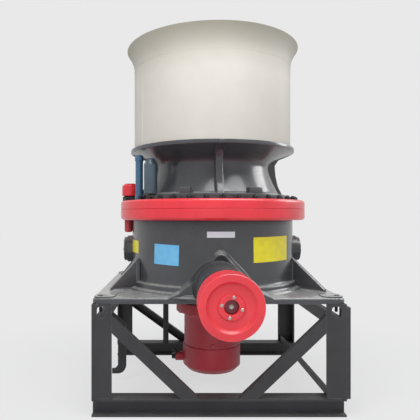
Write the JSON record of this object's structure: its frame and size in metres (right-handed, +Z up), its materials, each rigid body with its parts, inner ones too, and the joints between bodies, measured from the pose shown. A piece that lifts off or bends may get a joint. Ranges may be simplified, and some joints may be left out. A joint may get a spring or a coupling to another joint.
{
  "type": "cone crusher",
  "caption": "Cone crusher with cylindrical feed hopper, bolted joint rings, side drive pulley and low steel support frame.",
  "frame": {"origin": "on the floor under the middle of the whole outline; the crusher's own vertical axis stands at x -0.0135, y 0.295", "axes": "+Z up, -Y towards the drive pulley (the pictured front), +X to the right in the picture"},
  "size_m": [1.827, 2.31, 2.795],
  "materials": {
    "frame_steel": "satin dark grey paint",
    "cast_grey": "semi-gloss dark grey paint on cast steel",
    "red_paint": "semi-gloss red paint",
    "dark_red_paint": "semi-gloss dark red paint",
    "white_paint": "satin off-white paint",
    "blue_paint": "gloss blue paint",
    "slate_paint": "semi-gloss grey blue paint",
    "manganese": "bare cast wear steel",
    "machined_steel": "bare machined steel"
  },
  "bodies": {
    "crusher": {"post_front_left": "frame_steel", "post_front_right": "frame_steel", "post_rear_left": "frame_steel", "post_rear_right": "frame_steel", "beam_front": "frame_steel", "beam_rear": "frame_steel", "side_rail_high_left": "frame_steel", "side_rail_high_right": "frame_steel", "side_rail_low_right": "frame_steel", "brace_front_left": "frame_steel", "brace_front_right": "frame_steel", "brace_rear_left": "frame_steel", "rear_strut": "frame_steel", "hooked_strap": "frame_steel", "side_plate_right": "frame_steel", "bottomshell": "cast_grey", "side_door_left": "cast_grey", "side_door_right": "cast_grey", "topshell": "cast_grey", "spider_cap": "cast_grey", "dust_collar": "cast_grey", "pinion_cover": "cast_grey", "joint_ring_lower": "red_paint", "joint_ring_upper": "red_paint", "clamp_cap": "red_paint", "clamp_rod": "red_paint", "hydroset_cylinder": "dark_red_paint", "hydroset_cover": "dark_red_paint", "hydroset_port": "dark_red_paint", "hopper_shell": "white_paint", "hopper_flare": "white_paint", "lubricator": "blue_paint", "oil_canister": "slate_paint", "concave_ring": "manganese", "mantle": "manganese", "main_shaft": "machined_steel", "head_nut": "machined_steel", "eccentric": "machined_steel"},
    "drive": {"drive_pulley": "red_paint", "pulley_bush": "red_paint", "pinion_shaft": "machined_steel"}
  },
  "joints": [
    {"name": "pulley_turn", "type": "hinge", "parent": "crusher", "child": "drive", "pos_m": [-0.0135, -1.055, 0.918], "axis": [0, 1, 0], "continuous": true}
  ]
}
